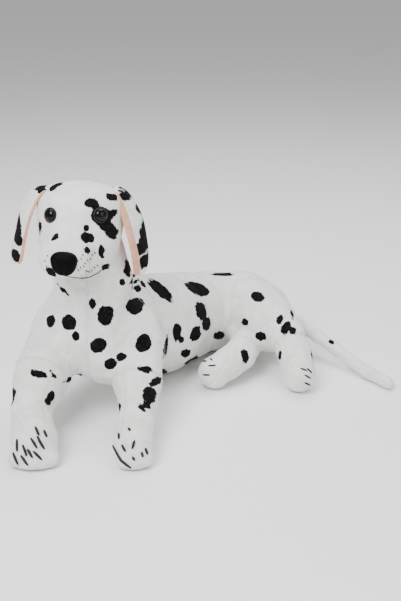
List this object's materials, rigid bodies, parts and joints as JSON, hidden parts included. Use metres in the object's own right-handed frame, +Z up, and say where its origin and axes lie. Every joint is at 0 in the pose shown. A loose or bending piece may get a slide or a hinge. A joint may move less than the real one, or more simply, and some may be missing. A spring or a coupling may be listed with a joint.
{
  "type": "plush dog",
  "caption": "Lying plush dog with a raised head: spotted white pile covers over fibre filling, hanging lined ears, domed eyes, sewn legs and a thin tail.",
  "frame": {"origin": "middle of the flat patch under the hips that the dog rests on", "axes": "+X to the dog's left, along its longest extent; +Y to the back, away from the way its chest and face look; +Z up"},
  "size_m": [0.5824, 0.5296, 0.3588],
  "materials": {
    "spotted_plush": "short white pile with printed black spots",
    "ear_lining_fabric": "short pinkish tan pile",
    "nose_fabric": "black short pile",
    "black_thread": "embroidery thread",
    "white_thread": "sewing thread",
    "polyester_filling": "loose fibre",
    "eye_plastic": "high gloss",
    "lock_washer": "matt"
  },
  "bodies": {
    "torso": {"torso_stuffing": "polyester_filling", "left_chest_panel": "spotted_plush", "right_chest_panel": "spotted_plush", "left_flank_panel": "spotted_plush", "right_flank_panel": "spotted_plush", "belly_panel": "spotted_plush", "left_thigh_panel": "spotted_plush", "left_thigh_stuffing": "polyester_filling", "neck_base_cover": "spotted_plush", "neck_base_stuffing": "polyester_filling", "closing_seam": "white_thread"},
    "neck": {"neck_cover": "spotted_plush", "neck_stuffing": "polyester_filling"},
    "head": {"left_face_panel": "spotted_plush", "right_face_panel": "spotted_plush", "chin_panel": "spotted_plush", "head_stuffing": "polyester_filling", "nose": "nose_fabric", "mouth_thread": "black_thread", "left_eye": "eye_plastic", "left_eye_washer": "lock_washer", "right_eye": "eye_plastic", "right_eye_washer": "lock_washer"},
    "right_ear": {"right_ear_back": "spotted_plush", "right_ear_lining": "ear_lining_fabric"},
    "left_ear": {"left_ear_back": "spotted_plush", "left_ear_lining": "ear_lining_fabric"},
    "tail_base": {"tail_base_cover": "spotted_plush", "tail_base_stuffing": "polyester_filling"},
    "tail_end": {"tail_end_cover": "spotted_plush", "tail_end_stuffing": "polyester_filling"},
    "right_front_leg": {"right_front_leg_outer_panel": "spotted_plush", "right_front_leg_inner_panel": "spotted_plush", "right_front_leg_stuffing": "polyester_filling", "right_front_leg_toe_threads": "black_thread"},
    "left_front_leg": {"left_front_leg_outer_panel": "spotted_plush", "left_front_leg_inner_panel": "spotted_plush", "left_front_leg_stuffing": "polyester_filling", "left_front_leg_toe_threads": "black_thread"},
    "right_hind_leg": {"right_hind_leg_outer_panel": "spotted_plush", "right_hind_leg_inner_panel": "spotted_plush", "right_hind_leg_stuffing": "polyester_filling", "right_hind_leg_toe_threads": "black_thread"},
    "left_hind_leg": {"left_hind_leg_outer_panel": "spotted_plush", "left_hind_leg_inner_panel": "spotted_plush", "left_hind_leg_stuffing": "polyester_filling", "left_hind_leg_toe_threads": "black_thread"}
  },
  "joints": [
    {"name": "neck_turn", "type": "hinge", "parent": "torso", "child": "neck", "pos_m": [-0.21, -0.25, 0.205], "axis": [0, -0.2169, 0.9762], "range_deg": [-20, 20], "stiffness_Nm_per_rad": 1},
    {"name": "head_nod", "type": "hinge", "parent": "neck", "child": "head", "pos_m": [-0.22, -0.272, 0.302], "axis": [-1, 0, 0], "range_deg": [-10, 12], "stiffness_Nm_per_rad": 1},
    {"name": "right_ear_swing", "type": "hinge", "parent": "head", "child": "right_ear", "pos_m": [-0.264, -0.264, 0.346], "axis": [0, 1, 0], "range_deg": [-3, 60]},
    {"name": "left_ear_swing", "type": "hinge", "parent": "head", "child": "left_ear", "pos_m": [-0.174, -0.264, 0.344], "axis": [0, -1, 0], "range_deg": [-3, 60]},
    {"name": "right_front_leg_lift", "type": "hinge", "parent": "torso", "child": "right_front_leg", "pos_m": [-0.262, -0.256, 0.112], "axis": [-1, 0, 0], "range_deg": [-4, 14], "stiffness_Nm_per_rad": 0.8},
    {"name": "left_front_leg_lift", "type": "hinge", "parent": "torso", "child": "left_front_leg", "pos_m": [-0.144, -0.258, 0.1], "axis": [-1, 0, 0], "range_deg": [-4, 14], "stiffness_Nm_per_rad": 0.8},
    {"name": "right_hind_leg_swing", "type": "hinge", "parent": "torso", "child": "right_hind_leg", "pos_m": [0.02, -0.06, 0.045], "axis": [0, 0, 1], "range_deg": [-8, 8], "stiffness_Nm_per_rad": 0.6},
    {"name": "left_hind_leg_swing", "type": "hinge", "parent": "torso", "child": "left_hind_leg", "pos_m": [0.092, -0.128, 0.066], "axis": [0, 0, 1], "range_deg": [-8, 8], "stiffness_Nm_per_rad": 0.6},
    {"name": "tail_swing", "type": "hinge", "parent": "torso", "child": "tail_base", "pos_m": [0.09, -0.004, 0.06], "axis": [0, 0, 1], "range_deg": [-20, 20], "stiffness_Nm_per_rad": 0.08},
    {"name": "tail_curl", "type": "hinge", "parent": "tail_base", "child": "tail_end", "pos_m": [0.174, -0.08, 0.027], "axis": [-0.7936, -0.6084, 0], "range_deg": [0, 25], "stiffness_Nm_per_rad": 0.05}
  ]
}
